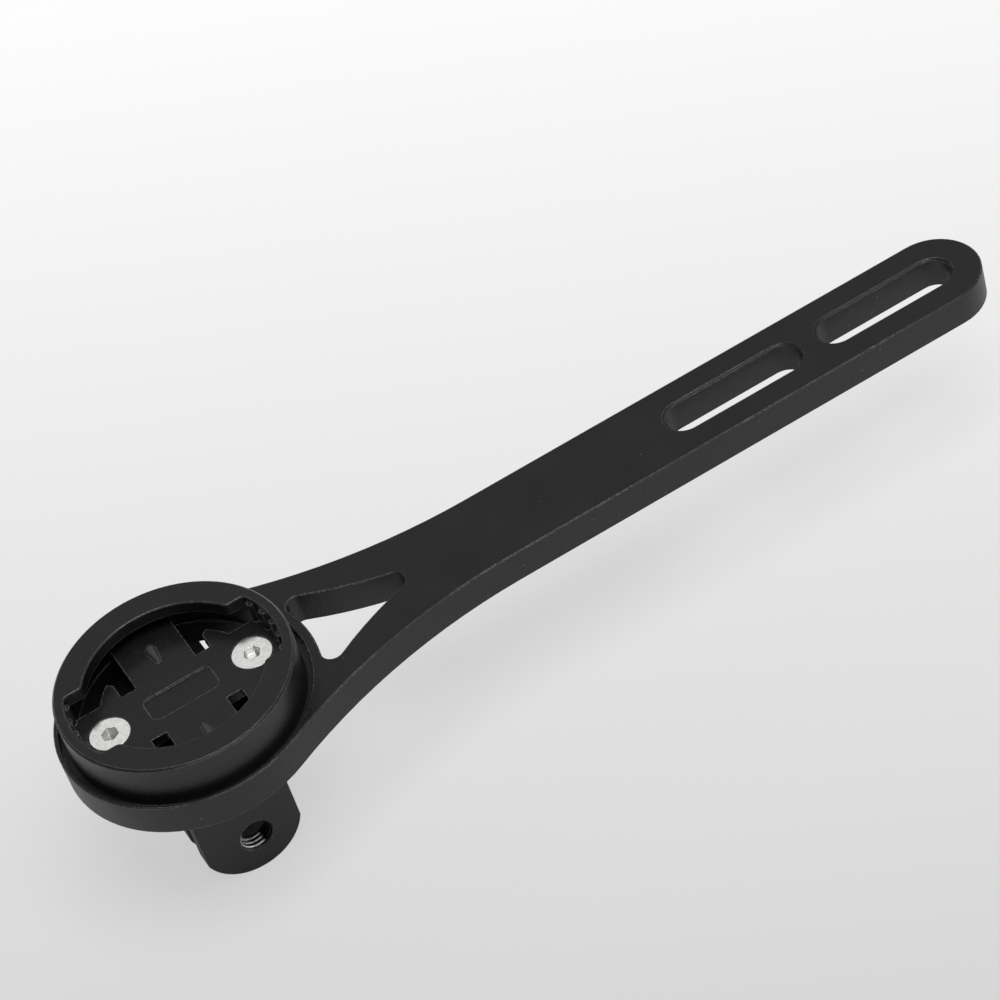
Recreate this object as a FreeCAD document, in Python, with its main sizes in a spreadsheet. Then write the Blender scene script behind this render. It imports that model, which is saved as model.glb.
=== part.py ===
import FreeCAD, Part
import collections
import math
import os
import Sketcher

# An out-front bike computer mount: a slotted aluminium arm that forks into a ring, a moulded
# quarter-turn cradle in the ring, a three-prong camera bracket below it, and four M3 screws.
# The origin is on the cradle's axis in the arm's top face. +X runs along the arm, +Z is up.

DOCUMENT_NAME = "ComputerMount"
OUTPUT_FOLDER = "parts"
FULL_TURN = 2 * math.pi
QUARTER_TURN = math.pi / 2

# Driving dimensions: the name of the cell, its value in millimetres or degrees, what it is.
SIZES = [
    ("plate_thickness", 5.3, "arm, top face to bottom face"),
    ("bar_width", 14.5, "width of the straight bar"),
    ("bar_reach", 126.2, "ring axis to the centre of the bar's round end"),
    ("ring_rim", 0.7, "rim of the ring round the cradle's recess"),
    ("neck_radius", 91.0, "large radius that blends the bar into the ring"),
    ("edge_break", 0.15, "chamfer on the arm's edges"),
    ("slot_width", 5.85, "width of the clamping slots"),
    ("slot_edge_break", 0.35, "chamfer on the slots' top edges"),
    ("slot_travel", 16.85, "slot length between the centres of its round ends"),
    ("slot_set_back", 0.25, "outer slot's end centre, inside the centre of the bar's round end"),
    ("slot_pitch", 26.2, "distance from one slot to the next"),
    ("cutout_set_off", 0.88, "cutout edge beside the ring, outside the ring's own circle"),
    ("cutout_length", 13.72, "that edge to the centre of the cutout's round tip"),
    ("cutout_tip_radius", 1.8, "round tip of the cutout"),
    ("cutout_side_radius", 60.0, "curve of the cutout's long sides"),
    ("cutout_side_lead", 17.8, "centres of those curves beyond the tip's centre, along the arm"),
    ("cutout_corner_radius", 1.7, "corners of the cutout beside the ring"),
    ("seat_gap", 1.0, "gap between the cradle and its recess in the ring"),
    ("seat_depth", 1.3, "depth of that recess"),
    ("seat_edge_break", 0.15, "chamfer on the recess edge"),
    ("seat_ledge", 1.35, "width of the ledge under the cradle's wall"),
    ("tab_wall", 2.65, "wall of the four screw tabs round their tapped holes"),
    ("tab_root", 0.8, "how far the tabs run into the ring wall"),
    ("cradle_radius", 17.5, "outer radius of the cradle"),
    ("cradle_height", 5.9, "cradle top above the arm's top face"),
    ("cradle_edge_break", 0.3, "chamfer on the cradle's top edge"),
    ("cradle_wall", 1.7, "thickness of the cradle's wall"),
    ("wall_foot_break", 0.25, "chamfer inside the foot of the cradle's wall"),
    ("lip_width", 2.55, "how far the two lips stand in from the wall"),
    ("lip_thickness", 2.0, "thickness of the lips"),
    ("lip_half_gap", 6.5, "half width of the entry notches between the lips"),
    ("lip_tip_radius", 1.0, "rounding of the lips' inner corners"),
    ("lip_root_radius", 0.8, "rounding where the lips meet the wall"),
    ("lip_edge_break", 0.15, "chamfer on the cradle's inner top edge, along lips and notches"),
    ("floor_level", 1.7, "cradle floor above the arm's top face"),
    ("floor_thickness", 1.6, "thickness of the cradle floor"),
    ("window_boss_gap", 0.3, "windows to the screw bosses, along the arm"),
    ("window_slot", 2.4, "width of the straight part of the floor windows"),
    ("window_width", 4.0, "width of the curved part of the windows"),
    ("window_corner_cut", 0.79, "cut corner between the two parts"),
    ("window_start_y", 5.15, "inner end of the straight part of the windows"),
    ("window_end_y", 5.6, "outer end of the curved part of the windows"),
    ("boss_rim", 0.75, "bosses below the floor, beyond the screw heads"),
    ("screw_wall_gap", 4.4, "cradle's screw axes to the inside of its wall"),
    ("panel_length", 10.7, "shallow panel in the floor, along the arm"),
    ("panel_width", 4.7, "shallow panel in the floor, across the arm"),
    ("panel_corner_radius", 1.2, "corners of the shallow panel"),
    ("panel_depth", 0.3, "depth of the shallow panel"),
    ("detent_wall_gap", 4.6, "outer end of the two detent bumps to the cradle's wall"),
    ("detent_length", 3.8, "length of the bumps"),
    ("detent_tip_radius", 0.35, "half width of the bumps at their inner end"),
    ("detent_end_radius", 0.85, "half width of the bumps at their round outer end"),
    ("rib_radius", 0.6, "half-round ribs on the notch walls"),
    ("rib_height", 3.4, "height of the ribs above the floor"),
    ("rib_spacing", 10.0, "angle between neighbouring ribs, degrees"),
    ("screw_radius", 1.5, "M3 thread, outer radius"),
    ("screw_length", 6.0, "M3 countersunk screw, overall length"),
    ("head_radius", 3.0, "countersunk head, outer radius"),
    ("head_rim", 0.15, "straight rim of the head above its cone"),
    ("socket_width", 2.2, "hexagon socket, across flats"),
    ("socket_depth", 1.2, "hexagon socket, depth"),
    ("thread_clearance", 0.05, "gap round a screw in its tapped hole"),
    ("hole_clearance", 0.15, "gap round a screw in its through hole"),
    ("base_thickness", 2.4, "base plate of the camera bracket"),
    ("base_arm_side", 7.5, "ring axis to the base plate's edge on the arm's side"),
    ("base_free_side", 10.2, "ring axis to the base plate's other edge"),
    ("base_inset", 2.2, "round ends of the base plate, inside the ring's outline"),
    ("screw_prong_gap", 0.7, "screw heads of the bracket to the outer prongs"),
    ("prong_thickness", 3.0, "thickness of each prong"),
    ("prong_gap", 3.05, "gap between two prongs"),
    ("prong_half_width", 7.55, "half width of the prongs"),
    ("prong_end_radius", 7.9, "round end of the prongs"),
    ("prong_end_drop", 16.3, "bottom of the arm to the centre of the prongs' round end"),
    ("prong_hole_drop", 18.0, "bottom of the arm to the axis of the prongs' holes"),
    ("prong_hole_shift", 0.55, "the holes' offset along the arm"),
    ("prong_thread_radius", 2.5, "M5 thread in the near prong, outer radius"),
    ("prong_bore_radius", 2.6, "plain hole in the other two prongs"),
    ("prong_edge_break", 0.2, "chamfer round the prong holes, on the bracket's two outer faces"),
]

NEAR_ZERO = 0.001
RIBS_PER_NOTCH = 5
PRONG_COUNT = 3
SLOT_COUNT = 2
PAIR = 2

# A line or arc of a sketch, with the codes of the ends where a loop enters and leaves it.
Piece = collections.namedtuple("Piece", "index first last")


class Length(float):
    """A length in millimetres that also carries the sheet's expression for it.

    Arithmetic keeps the two in step, so that a length that follows from others is written once.
    """

    def __new__(cls, number, text):
        length = super().__new__(cls, number)
        length.text = text
        return length

    def __add__(self, other):
        return Length(float(self) + float(other), f"({self.text} + {text_of(other)})")

    def __sub__(self, other):
        return Length(float(self) - float(other), f"({self.text} - {text_of(other)})")

    def __mul__(self, factor):
        return Length(float(self) * factor, f"({self.text} * {factor})")

    def __neg__(self):
        return self * -1


def text_of(value):
    return value.text if isinstance(value, Length) else str(value)


def other_leg(longest, leg):
    """The third side of a right triangle."""
    text = f"sqrt({longest.text} ^ 2 - {leg.text} ^ 2)"
    return Length(math.sqrt(longest ** 2 - leg ** 2), text)


def make_sheet(doc):
    sheet = doc.addObject("Spreadsheet::Sheet", "Sizes")
    for row, (name, number, note) in enumerate(SIZES, start=1):
        sheet.set(f"A{row}", note)
        sheet.set(f"B{row}", str(number))
        sheet.setAlias(f"B{row}", name)
    doc.recompute()
    return sheet


doc = FreeCAD.newDocument(DOCUMENT_NAME)
sheet = make_sheet(doc)


def size(name):
    return Length(sheet.get(name), f"Sizes.{name}")


# Lengths that follow from the sheet, so that pieces which fit each other change together.

seat_radius = size("cradle_radius") + size("seat_gap")
ring_radius = seat_radius + size("ring_rim")
bore_radius = size("cradle_radius") - size("seat_ledge")
notch_radius = size("cradle_radius") - size("cradle_wall")
middle_of_wall = size("cradle_radius") - size("cradle_wall") * 0.5
lip_radius = notch_radius - size("lip_width")
lip_bottom = size("cradle_height") - size("lip_thickness")
plate_bottom = -size("plate_thickness")
base_bottom = plate_bottom - size("base_thickness")
cutout_inner_radius = ring_radius + size("cutout_set_off")
cutout_tip_reach = cutout_inner_radius + size("cutout_length")
cutout_side_reach = cutout_tip_reach + size("cutout_side_lead")
tapped_radius = size("screw_radius") + size("thread_clearance")
through_radius = size("screw_radius") + size("hole_clearance")
head_seat_radius = size("head_radius") + size("head_rim")
tab_half_width = tapped_radius + size("tab_wall")
boss_radius = head_seat_radius + size("boss_rim")
near_prong_face = size("prong_thickness") * (PRONG_COUNT / 2) + size("prong_gap") * ((PRONG_COUNT - 1) / 2)
cradle_screw_reach = notch_radius - size("screw_wall_gap")
bracket_screw_reach = near_prong_face + head_seat_radius + size("screw_prong_gap")


def point(x, y):
    return FreeCAD.Vector(x, y, 0)


# Helpers for bodies, sketches and their bound constraints.

def new_body(label):
    body = doc.addObject("PartDesign::Body", label)
    body.Label = label
    return body


def origin_plane(body, role):
    for feature in body.Origin.OriginFeatures:
        if feature.Role == role:
            return feature
    raise ValueError(role)


def new_sketch(body, name, role="XY_Plane", height=None, turn=0):
    """A sketch on one of the body's origin planes, moved and turned about the plane's normal."""
    sketch = body.newObject("Sketcher::SketchObject", name)
    sketch.AttachmentSupport = [(origin_plane(body, role), "")]
    sketch.MapMode = "FlatFace"
    sketch.AttachmentOffset = FreeCAD.Placement(point(0, 0), FreeCAD.Rotation(turn, 0, 0))
    if height is not None:
        sketch.setExpression(".AttachmentOffset.Base.z", height.text)
    return sketch


def bound(sketch, length, kind, *places):
    """Adds a dimension and ties it to the sheet."""
    index = sketch.addConstraint(Sketcher.Constraint(kind, *places, float(length)))
    sketch.setExpression(f"Constraints[{index}]", length.text)


def fixed(sketch, kind, *places):
    sketch.addConstraint(Sketcher.Constraint(kind, *places))


def place(sketch, kind, geometry, corner, length, side=1):
    """Sets how far a point lies from the sketch's origin, on the positive or negative side."""
    if side > 0:
        bound(sketch, length, kind, -1, 1, geometry, corner)
    else:
        bound(sketch, length, kind, geometry, corner, -1, 1)


def add_line(sketch, start, end):
    return sketch.addGeometry(Part.LineSegment(point(*start), point(*end)))


def add_arc(sketch, centre, radius, start, end):
    circle = Part.Circle(point(*centre), FreeCAD.Vector(0, 0, 1), radius)
    return sketch.addGeometry(Part.ArcOfCircle(circle, start, end))


def draw_loop(sketch, steps):
    """Draws a closed run of lines and arcs; each step says whether it leaves the last smoothly.

    A step is (smooth, start, end, centre); a line has no centre, an arc takes its short way.
    """
    pieces = []
    for smooth, start, end, centre in steps:
        if centre is None:
            pieces.append(Piece(add_line(sketch, start, end), 1, 2))
            continue
        radius = math.dist(centre, start)
        first = math.atan2(start[1] - centre[1], start[0] - centre[0])
        last = math.atan2(end[1] - centre[1], end[0] - centre[0])
        if (last - first) % FULL_TURN < math.pi:
            pieces.append(Piece(add_arc(sketch, centre, radius, first, last), 1, 2))
        else:
            pieces.append(Piece(add_arc(sketch, centre, radius, last, first), 2, 1))
    for number, step in enumerate(steps):
        before = pieces[number - 1]
        piece = pieces[number]
        kind = "Tangent" if step[0] else "Coincident"
        fixed(sketch, kind, before.index, before.last, piece.index, piece.first)
    return pieces


def add_circle(sketch, centre, radius):
    circle = Part.Circle(point(*centre), FreeCAD.Vector(0, 0, 1), radius)
    index = sketch.addGeometry(circle)
    bound(sketch, radius, "Radius", index)
    return index


def centred_circle(sketch, radius):
    index = add_circle(sketch, (0, 0), radius)
    fixed(sketch, "Coincident", index, 3, -1, 1)
    return index


def pad(body, name, sketch, length, downward=False):
    feature = body.newObject("PartDesign::Pad", name)
    feature.Profile = sketch
    feature.setExpression("Length", length.text)
    feature.Reversed = downward
    sketch.Visibility = False
    return feature


def pocket(body, name, sketch, length=None):
    feature = body.newObject("PartDesign::Pocket", name)
    feature.Profile = sketch
    if length is None:
        feature.Type = "ThroughAll"
    else:
        feature.setExpression("Length", length.text)
    sketch.Visibility = False
    return feature


def polar_copies(body, name, feature, sketch, count):
    pattern = body.newObject("PartDesign::PolarPattern", name)
    pattern.Originals = [feature]
    pattern.Axis = (sketch, ["N_Axis"])
    pattern.Angle = 360
    pattern.Occurrences = count
    body.Tip = pattern
    return pattern


def mirrored(body, name, features, role):
    mirror = body.newObject("PartDesign::Mirrored", name)
    mirror.Originals = features
    mirror.MirrorPlane = (origin_plane(body, role), [""])
    body.Tip = mirror
    return mirror


def flat_edges(shape, level, wanted):
    """Names the edges that lie in one level plane and whose middle point is wanted."""
    names = []
    for index, edge in enumerate(shape.Edges, start=1):
        box = edge.BoundBox
        if abs(box.ZMin - level) > NEAR_ZERO or abs(box.ZMax - level) > NEAR_ZERO:
            continue
        if wanted(edge.valueAt((edge.FirstParameter + edge.LastParameter) / 2)):
            names.append(f"Edge{index}")
    return names


def within(smallest, largest):
    """Wants the points in a band of distances from the axis."""
    return lambda spot: smallest < math.hypot(spot.x, spot.y) < largest


def chamfer(body, name, base, edges, length):
    feature = body.newObject("PartDesign::Chamfer", name)
    feature.Base = (base, edges)
    feature.setExpression("Size", length.text)
    return feature


# The arm: outline, cutout, slots, the cradle's seat, the bore and its four screw tabs.

def draw_arm_outline(body):
    sketch = new_sketch(body, "ArmOutline")
    half = size("bar_width") * 0.5
    ring = ring_radius
    neck = size("neck_radius")
    reach = size("bar_reach")
    neck_y = half + neck
    neck_x = math.sqrt((ring + neck) ** 2 - neck_y ** 2)
    turn = math.atan2(neck_y, neck_x)
    ring_arc = add_arc(sketch, (0, 0), ring, turn, FULL_TURN - turn)
    far_neck = add_arc(sketch, (neck_x, neck_y), neck, turn + math.pi, 3 * QUARTER_TURN)
    far_side = add_line(sketch, (neck_x, half), (reach, half))
    round_end = add_arc(sketch, (reach, 0), half, -QUARTER_TURN, QUARTER_TURN)
    near_side = add_line(sketch, (reach, -half), (neck_x, -half))
    near_neck = add_arc(sketch, (neck_x, -neck_y), neck, QUARTER_TURN, math.pi - turn)
    fixed(sketch, "Tangent", ring_arc, 1, far_neck, 1)
    fixed(sketch, "Tangent", far_neck, 2, far_side, 1)
    fixed(sketch, "Tangent", far_side, 2, round_end, 2)
    fixed(sketch, "Tangent", round_end, 1, near_side, 1)
    fixed(sketch, "Tangent", near_side, 2, near_neck, 1)
    fixed(sketch, "Tangent", near_neck, 2, ring_arc, 2)
    fixed(sketch, "Coincident", ring_arc, 3, -1, 1)
    fixed(sketch, "PointOnObject", round_end, 3, -1)
    fixed(sketch, "Horizontal", far_side)
    fixed(sketch, "Horizontal", near_side)
    fixed(sketch, "Equal", far_neck, near_neck)
    bound(sketch, ring, "Radius", ring_arc)
    bound(sketch, neck, "Radius", far_neck)
    bound(sketch, half, "Radius", round_end)
    place(sketch, "DistanceX", round_end, 3, reach)
    return sketch


def draw_cutout(body):
    """A triangle with curved long sides, a round tip and rounded corners beside the ring."""
    sketch = new_sketch(body, "CutoutOutline")
    inner = cutout_inner_radius
    tip_x = cutout_tip_reach
    tip = size("cutout_tip_radius")
    side = size("cutout_side_radius")
    side_x = cutout_side_reach
    corner = size("cutout_corner_radius")
    side_y = math.sqrt((side + tip) ** 2 - (side_x - tip_x) ** 2)
    lean = math.atan2(side_y, side_x - tip_x)
    # The corner's centre lies at known distances from the ring axis and the side's centre.
    to_axis = inner + corner
    to_side = side + corner
    span = math.hypot(side_x, side_y)
    angle_at_axis = math.acos((to_axis ** 2 + span ** 2 - to_side ** 2) / (2 * to_axis * span))
    corner_turn = math.atan2(side_y, side_x) - angle_at_axis
    corner_x = to_axis * math.cos(corner_turn)
    corner_y = to_axis * math.sin(corner_turn)
    corner_to_side = math.atan2(side_y - corner_y, side_x - corner_x)
    tip_arc = add_arc(sketch, (tip_x, 0), tip, -lean, lean)
    far_side = add_arc(sketch, (side_x, side_y), side, corner_to_side + math.pi, lean + math.pi)
    far_corner = add_arc(
        sketch, (corner_x, corner_y), corner, corner_to_side, corner_turn + math.pi)
    inner_arc = add_arc(sketch, (0, 0), inner, -corner_turn, corner_turn)
    near_corner = add_arc(
        sketch, (corner_x, -corner_y), corner, math.pi - corner_turn, FULL_TURN - corner_to_side)
    near_side = add_arc(sketch, (side_x, -side_y), side, math.pi - lean, math.pi - corner_to_side)
    fixed(sketch, "Tangent", tip_arc, 2, far_side, 2)
    fixed(sketch, "Tangent", far_side, 1, far_corner, 1)
    fixed(sketch, "Tangent", far_corner, 2, inner_arc, 2)
    fixed(sketch, "Tangent", inner_arc, 1, near_corner, 1)
    fixed(sketch, "Tangent", near_corner, 2, near_side, 2)
    fixed(sketch, "Tangent", near_side, 1, tip_arc, 1)
    fixed(sketch, "Coincident", inner_arc, 3, -1, 1)
    fixed(sketch, "PointOnObject", tip_arc, 3, -1)
    fixed(sketch, "Equal", far_side, near_side)
    fixed(sketch, "Equal", far_corner, near_corner)
    bound(sketch, inner, "Radius", inner_arc)
    bound(sketch, tip, "Radius", tip_arc)
    bound(sketch, side, "Radius", far_side)
    bound(sketch, corner, "Radius", far_corner)
    place(sketch, "DistanceX", tip_arc, 3, tip_x)
    place(sketch, "DistanceX", far_side, 3, side_x)
    place(sketch, "DistanceX", near_side, 3, side_x)
    return sketch


def draw_slot(body):
    sketch = new_sketch(body, "SlotOutline")
    half = size("slot_width") * 0.5
    travel = size("slot_travel")
    outer_x = size("bar_reach") - size("slot_set_back")
    inner_x = outer_x - travel
    outer_end = add_arc(sketch, (outer_x, 0), half, -QUARTER_TURN, QUARTER_TURN)
    far_side = add_line(sketch, (outer_x, half), (inner_x, half))
    inner_end = add_arc(sketch, (inner_x, 0), half, QUARTER_TURN, 3 * QUARTER_TURN)
    near_side = add_line(sketch, (inner_x, -half), (outer_x, -half))
    fixed(sketch, "Tangent", outer_end, 2, far_side, 1)
    fixed(sketch, "Tangent", far_side, 2, inner_end, 1)
    fixed(sketch, "Tangent", inner_end, 2, near_side, 1)
    fixed(sketch, "Tangent", near_side, 2, outer_end, 1)
    fixed(sketch, "Equal", outer_end, inner_end)
    fixed(sketch, "PointOnObject", outer_end, 3, -1)
    fixed(sketch, "PointOnObject", inner_end, 3, -1)
    bound(sketch, half, "Radius", outer_end)
    place(sketch, "DistanceX", outer_end, 3, outer_x)
    bound(sketch, travel, "DistanceX", inner_end, 3, outer_end, 3)
    return sketch


def draw_tab(body, name, reach, turn):
    """A tab with a round inner end; its root runs into the ring wall."""
    sketch = new_sketch(body, name, height=-size("seat_depth"), turn=turn)
    half = tab_half_width
    root_x = bore_radius + size("tab_root")
    inner_end = add_arc(sketch, (reach, 0), half, QUARTER_TURN, 3 * QUARTER_TURN)
    near_side = add_line(sketch, (reach, -half), (root_x, -half))
    root = add_line(sketch, (root_x, -half), (root_x, half))
    far_side = add_line(sketch, (root_x, half), (reach, half))
    fixed(sketch, "Tangent", inner_end, 2, near_side, 1)
    fixed(sketch, "Coincident", near_side, 2, root, 1)
    fixed(sketch, "Coincident", root, 2, far_side, 1)
    fixed(sketch, "Tangent", far_side, 2, inner_end, 1)
    fixed(sketch, "Vertical", root)
    fixed(sketch, "Horizontal", near_side)
    fixed(sketch, "Horizontal", far_side)
    fixed(sketch, "PointOnObject", inner_end, 3, -1)
    bound(sketch, half, "Radius", inner_end)
    place(sketch, "DistanceX", inner_end, 3, reach)
    place(sketch, "DistanceX", root, 1, root_x)
    return sketch


def draw_screw_circles(body, name, reach, radius, height=None, turn=0):
    """Two equal circles on a pair of screw axes."""
    sketch = new_sketch(body, name, height=height, turn=turn)
    for side in (1, -1):
        circle = add_circle(sketch, (side * reach, 0), radius)
        fixed(sketch, "PointOnObject", circle, 3, -1)
        place(sketch, "DistanceX", circle, 3, reach, side)
    return sketch


def add_tabs(body, name, reach, turn):
    """A pair of tabs in the bore, each with a tapped hole."""
    tab_sketch = draw_tab(body, f"{name}Tab", reach, turn)
    height = size("plate_thickness") - size("seat_depth")
    tab = pad(body, f"{name}TabPad", tab_sketch, height, downward=True)
    polar_copies(body, f"{name}Tabs", tab, tab_sketch, PAIR)
    holes = draw_screw_circles(body, f"{name}HoleCircles", reach, tapped_radius, turn=turn)
    return pocket(body, f"{name}TappedHoles", holes)


def make_arm_plate():
    body = new_body("arm_plate")
    pad(body, "ArmPad", draw_arm_outline(body), size("plate_thickness"), downward=True)
    pocket(body, "CutoutPocket", draw_cutout(body))
    slot_sketch = draw_slot(body)
    slot = pocket(body, "SlotPocket", slot_sketch)
    slots = body.newObject("PartDesign::LinearPattern", "SlotPattern")
    slots.Originals = [slot]
    slots.Direction = (slot_sketch, ["H_Axis"])
    slots.Reversed = True
    slots.Occurrences = SLOT_COUNT
    slots.setExpression("Length", size("slot_pitch").text)
    body.Tip = slots
    seat_sketch = new_sketch(body, "SeatOutline")
    centred_circle(seat_sketch, seat_radius)
    pocket(body, "SeatPocket", seat_sketch, size("seat_depth"))
    bore_sketch = new_sketch(body, "BoreOutline")
    centred_circle(bore_sketch, bore_radius)
    pocket(body, "BorePocket", bore_sketch)
    add_tabs(body, "Cradle", cradle_screw_reach, turn=0)
    holes = add_tabs(body, "Bracket", bracket_screw_reach, turn=90)
    doc.recompute()
    beyond_bore = bore_radius + NEAR_ZERO
    beyond_seat = seat_radius + NEAR_ZERO
    beyond_arm = size("bar_reach") + size("bar_width")
    beyond_slot_side = size("slot_width") * 0.5 + size("slot_edge_break") + NEAR_ZERO

    def on_slot(spot):
        first_x = cutout_tip_reach + size("cutout_tip_radius") + NEAR_ZERO
        last_x = size("bar_reach") + beyond_slot_side
        return abs(spot.y) < beyond_slot_side and first_x < spot.x < last_x

    def on_outline(spot):
        return within(beyond_seat, beyond_arm)(spot) and not on_slot(spot)

    slot_edges = flat_edges(holes.Shape, 0, on_slot)
    broken = chamfer(body, "SlotChamfer", holes, slot_edges, size("slot_edge_break"))
    doc.recompute()
    edges = flat_edges(broken.Shape, 0, on_outline)
    edges += flat_edges(broken.Shape, plate_bottom, within(beyond_bore, beyond_arm))
    broken = chamfer(body, "EdgeChamfer", broken, edges, size("edge_break"))
    doc.recompute()
    seat_edge = flat_edges(broken.Shape, 0, within(beyond_bore, beyond_seat))
    chamfer(body, "SeatChamfer", broken, seat_edge, size("seat_edge_break"))
    return body


# The cradle: wall, floor with windows, lips, bosses, screw seats, panel, bumps and ribs.

def draw_windows(body):
    """Four floor windows, each a straight part that opens into a curved part along the wall."""
    sketch = new_sketch(body, "WindowOutlines", height=size("floor_level"))
    wall = notch_radius
    arc = wall - size("window_width")
    outer_x = cradle_screw_reach - boss_radius - size("window_boss_gap")
    inner_x = outer_x - size("window_slot")
    start_y = size("window_start_y")
    end_y = size("window_end_y")
    cut_x = outer_x + size("window_corner_cut")
    corner_y = other_leg(arc, cut_x) - size("window_corner_cut")
    corners = [
        (inner_x, start_y),
        (outer_x, start_y),
        (outer_x, corner_y),
        (cut_x, other_leg(arc, cut_x)),
        (other_leg(arc, end_y), end_y),
        (other_leg(wall, end_y), end_y),
        (inner_x, other_leg(wall, inner_x)),
    ]
    for side_x, side_y in ((1, 1), (-1, 1), (-1, -1), (1, -1)):
        places = [(side_x * x, side_y * y) for x, y in corners]
        start, outer, cut, arc_edge, end, wall_edge, inner = draw_loop(sketch, [
            (False, places[0], places[1], None),
            (False, places[1], places[2], None),
            (False, places[2], places[3], None),
            (False, places[3], places[4], (0, 0)),
            (False, places[4], places[5], None),
            (False, places[5], places[6], (0, 0)),
            (False, places[6], places[0], None),
        ])
        fixed(sketch, "Horizontal", start.index)
        fixed(sketch, "Vertical", outer.index)
        fixed(sketch, "Horizontal", end.index)
        fixed(sketch, "Vertical", inner.index)
        fixed(sketch, "Coincident", arc_edge.index, 3, -1, 1)
        fixed(sketch, "Coincident", wall_edge.index, 3, -1, 1)
        bound(sketch, arc, "Radius", arc_edge.index)
        bound(sketch, wall, "Radius", wall_edge.index)
        place(sketch, "DistanceX", start.index, 1, inner_x, side_x)
        place(sketch, "DistanceY", start.index, 1, start_y, side_y)
        place(sketch, "DistanceX", outer.index, 1, outer_x, side_x)
        place(sketch, "DistanceY", cut.index, 1, corner_y, side_y)
        place(sketch, "DistanceX", cut.index, 2, cut_x, side_x)
        place(sketch, "DistanceY", end.index, 1, end_y, side_y)
    return sketch


def draw_lip(body):
    """A crescent against the wall; its ends are straight, with round tips and roots."""
    sketch = new_sketch(body, "LipOutline", height=lip_bottom)
    inner = lip_radius
    wall = notch_radius
    end_y = size("lip_half_gap")
    tip = size("lip_tip_radius")
    root = size("lip_root_radius")
    tip_y = end_y + tip
    tip_x = math.sqrt((inner + tip) ** 2 - tip_y ** 2)
    root_y = end_y - root
    root_x = other_leg(wall - root, root_y)
    tip_share = inner / (inner + tip)
    root_share = wall / (wall - root)
    on_inner = (tip_x * tip_share, tip_y * tip_share)
    on_wall = (root_x * root_share, root_y * root_share)
    wall_share = middle_of_wall / wall
    in_wall = (on_wall[0] * wall_share, on_wall[1] * wall_share)

    def left(spot):
        return (-spot[0], spot[1])

    pieces = draw_loop(sketch, [
        (True, on_inner, left(on_inner), (0, 0)),
        (True, left(on_inner), (-tip_x, end_y), (-tip_x, tip_y)),
        (True, (-tip_x, end_y), (-root_x, end_y), None),
        (True, (-root_x, end_y), left(on_wall), (-root_x, root_y)),
        (False, left(on_wall), left(in_wall), None),
        (False, left(in_wall), in_wall, (0, 0)),
        (False, in_wall, on_wall, None),
        (False, on_wall, (root_x, end_y), (root_x, root_y)),
        (True, (root_x, end_y), (tip_x, end_y), None),
        (True, (tip_x, end_y), on_inner, (tip_x, tip_y)),
    ])
    inner_arc, left_tip, left_end, left_root, left_side = pieces[:5]
    outer_arc, right_side, right_root, right_end, right_tip = pieces[5:]
    fixed(sketch, "Coincident", inner_arc.index, 3, -1, 1)
    fixed(sketch, "Coincident", outer_arc.index, 3, -1, 1)
    fixed(sketch, "Horizontal", left_end.index)
    fixed(sketch, "Horizontal", right_end.index)
    bound(sketch, inner, "Radius", inner_arc.index)
    bound(sketch, middle_of_wall, "Radius", outer_arc.index)
    for tip_piece in (left_tip, right_tip):
        bound(sketch, tip, "Radius", tip_piece.index)
    ends = (
        (-1, left_root, left_end, left_side),
        (1, right_root, right_end, right_side),
    )
    for side, root_piece, end_piece, side_piece in ends:
        bound(sketch, root, "Radius", root_piece.index)
        place(sketch, "DistanceX", root_piece.index, 3, root_x, side)
        place(sketch, "DistanceY", end_piece.index, 1, end_y)
        fixed(sketch, "PointOnObject", -1, 1, side_piece.index)
        fixed(sketch, "PointOnObject", root_piece.index, 3, side_piece.index)
    return sketch


def draw_panel(body):
    """A rectangle with round corners, centred on the axis."""
    sketch = new_sketch(body, "PanelOutline", height=size("floor_level"))
    far_x = size("panel_length") * 0.5
    far_y = size("panel_width") * 0.5
    corner = size("panel_corner_radius")
    near_x = far_x - corner
    near_y = far_y - corner
    pieces = draw_loop(sketch, [
        (True, (near_x, far_y), (-near_x, far_y), None),
        (True, (-near_x, far_y), (-far_x, near_y), (-near_x, near_y)),
        (True, (-far_x, near_y), (-far_x, -near_y), None),
        (True, (-far_x, -near_y), (-near_x, -far_y), (-near_x, -near_y)),
        (True, (-near_x, -far_y), (near_x, -far_y), None),
        (True, (near_x, -far_y), (far_x, -near_y), (near_x, -near_y)),
        (True, (far_x, -near_y), (far_x, near_y), None),
        (True, (far_x, near_y), (near_x, far_y), (near_x, near_y)),
    ])
    far_side, corner_arc, left_side, _, near_side, _, right_side, _ = pieces
    for level in (far_side, near_side):
        fixed(sketch, "Horizontal", level.index)
    for upright in (left_side, right_side):
        fixed(sketch, "Vertical", upright.index)
    for other in (pieces[3], pieces[5], pieces[7]):
        fixed(sketch, "Equal", corner_arc.index, other.index)
    bound(sketch, corner, "Radius", corner_arc.index)
    place(sketch, "DistanceY", far_side.index, 1, far_y)
    place(sketch, "DistanceY", near_side.index, 1, far_y, side=-1)
    place(sketch, "DistanceX", left_side.index, 1, far_x, side=-1)
    place(sketch, "DistanceX", right_side.index, 1, far_x)
    return sketch


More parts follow.
